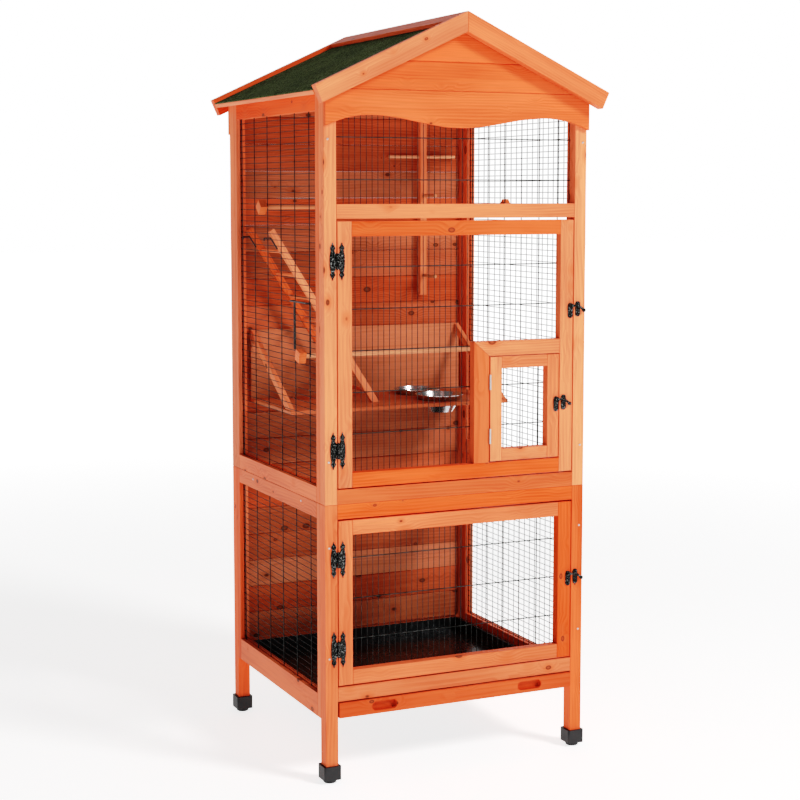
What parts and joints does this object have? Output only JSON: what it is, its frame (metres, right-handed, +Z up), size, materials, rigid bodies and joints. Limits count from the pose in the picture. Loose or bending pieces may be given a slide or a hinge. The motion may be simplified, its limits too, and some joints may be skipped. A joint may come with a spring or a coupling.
{
  "type": "bird cage on stand",
  "caption": "Tall wooden bird cage on legs with gabled felt roof, mesh walls, hinged doors, feed door, pull-out tray, shelf with bowls, ladder and perches",
  "frame": {"origin": "on the floor, under the middle of the roof", "axes": "+Z up, -Y out of the doors, +X to the right of someone facing the doors"},
  "size_m": [0.66, 0.632, 1.556],
  "materials": {
    "stained_pine": "satin",
    "perch_wood": "matte",
    "shelf_wood": "satin",
    "black_plastic": "matte",
    "wire": "satin",
    "felt": "matte",
    "black_iron": "satin",
    "bright_steel": "satin",
    "stainless": "polished",
    "galvanised": "satin"
  },
  "bodies": {
    "cage": {"lower_posts_front": "stained_pine", "lower_posts_rear": "stained_pine", "upper_posts_front": "stained_pine", "upper_posts_rear": "stained_pine", "foot_caps": "black_plastic", "foot_glides": "black_plastic", "side_frame_left_lower": "stained_pine", "side_frame_right_lower": "stained_pine", "side_frame_left_upper": "stained_pine", "side_frame_right_upper": "stained_pine", "side_mesh_left": "wire", "side_mesh_right": "wire", "lower_front_rails": "stained_pine", "upper_front_rails": "stained_pine", "rear_rails": "stained_pine", "window_mesh": "wire", "back_planks_lower": "stained_pine", "back_planks_upper": "stained_pine", "gable_front": "stained_pine", "gable_rear": "stained_pine", "bargeboards": "stained_pine", "roof_board_left": "stained_pine", "roof_board_right": "stained_pine", "roof_felt": "felt", "ridge_caps": "stained_pine", "shelf_board": "shelf_wood", "shelf_back": "shelf_wood", "shelf_braces": "stained_pine", "perch_dowels": "perch_wood", "perch_blocks": "stained_pine", "perch_batten": "stained_pine", "batten_pegs": "perch_wood", "tray_runners": "stained_pine", "frame_screws": "bright_steel", "post_hinges": "black_iron", "post_latch_keepers": "black_iron"},
    "main_door": {"main_door_frame": "stained_pine", "feed_surround": "stained_pine", "main_door_mesh": "wire", "main_door_hinges": "black_iron", "main_door_plates": "black_iron", "feed_hinges_fixed": "bright_steel"},
    "feed_door": {"feed_door_frame": "stained_pine", "feed_door_mesh": "wire", "feed_hinges_moving": "bright_steel", "feed_latch_plate": "black_iron"},
    "lower_door": {"lower_door_frame": "stained_pine", "lower_door_mesh": "wire", "lower_door_hinges": "black_iron", "lower_latch_plate": "black_iron"},
    "main_latch": {"main_latch_lever": "black_iron"},
    "feed_latch": {"feed_latch_lever": "black_iron"},
    "lower_latch": {"lower_latch_lever": "black_iron"},
    "drawer": {"drawer_front": "stained_pine", "drawer_tray": "galvanised"},
    "front_bowl": {"bowl_front": "stainless"},
    "rear_bowl": {"bowl_rear": "stainless"},
    "climbing_ladder": {"ladder": "stained_pine", "ladder_hooks": "black_iron"},
    "hanger": {"wire_hanger": "black_iron"}
  },
  "joints": [
    {"name": "main_door_hinge", "type": "hinge", "parent": "cage", "child": "main_door", "pos_m": [-0.27, -0.2822, 0.87], "axis": [0, 0, -1], "range_deg": [0, 110]},
    {"name": "lower_door_hinge", "type": "hinge", "parent": "cage", "child": "lower_door", "pos_m": [-0.27, -0.2822, 0.37], "axis": [0, 0, -1], "range_deg": [0, 110]},
    {"name": "feed_door_hinge", "type": "hinge", "parent": "main_door", "child": "feed_door", "pos_m": [0.0719, -0.2816, 0.747], "axis": [0, 0, -1], "range_deg": [0, 110]},
    {"name": "main_latch_pivot", "type": "hinge", "parent": "main_door", "child": "main_latch", "pos_m": [0.262, -0.2855, 0.958], "axis": [0, -1, 0], "range_deg": [0, 90]},
    {"name": "feed_latch_pivot", "type": "hinge", "parent": "feed_door", "child": "feed_latch", "pos_m": [0.2293, -0.2855, 0.761], "axis": [0, -1, 0], "range_deg": [0, 90]},
    {"name": "lower_latch_pivot", "type": "hinge", "parent": "lower_door", "child": "lower_latch", "pos_m": [0.262, -0.2855, 0.383], "axis": [0, -1, 0], "range_deg": [0, 90]},
    {"name": "drawer_slide", "type": "slide", "parent": "cage", "child": "drawer", "axis": [0, -1, 0], "range_m": [0, 0.45]},
    {"name": "front_bowl_lift", "type": "slide", "parent": "cage", "child": "front_bowl", "axis": [0, 0, 1], "range_m": [0, 0.15]},
    {"name": "rear_bowl_lift", "type": "slide", "parent": "cage", "child": "rear_bowl", "axis": [0, 0, 1], "range_m": [0, 0.15]},
    {"name": "ladder_swing", "type": "hinge", "parent": "cage", "child": "climbing_ladder", "pos_m": [-0.28625, 0.1475, 1.095], "axis": [0, -1, 0], "range_deg": [0, 20]},
    {"name": "hanger_swing", "type": "hinge", "parent": "cage", "child": "hanger", "pos_m": [-0.28625, -0.12, 0.969], "axis": [0, -1, 0], "range_deg": [0, 50]}
  ]
}
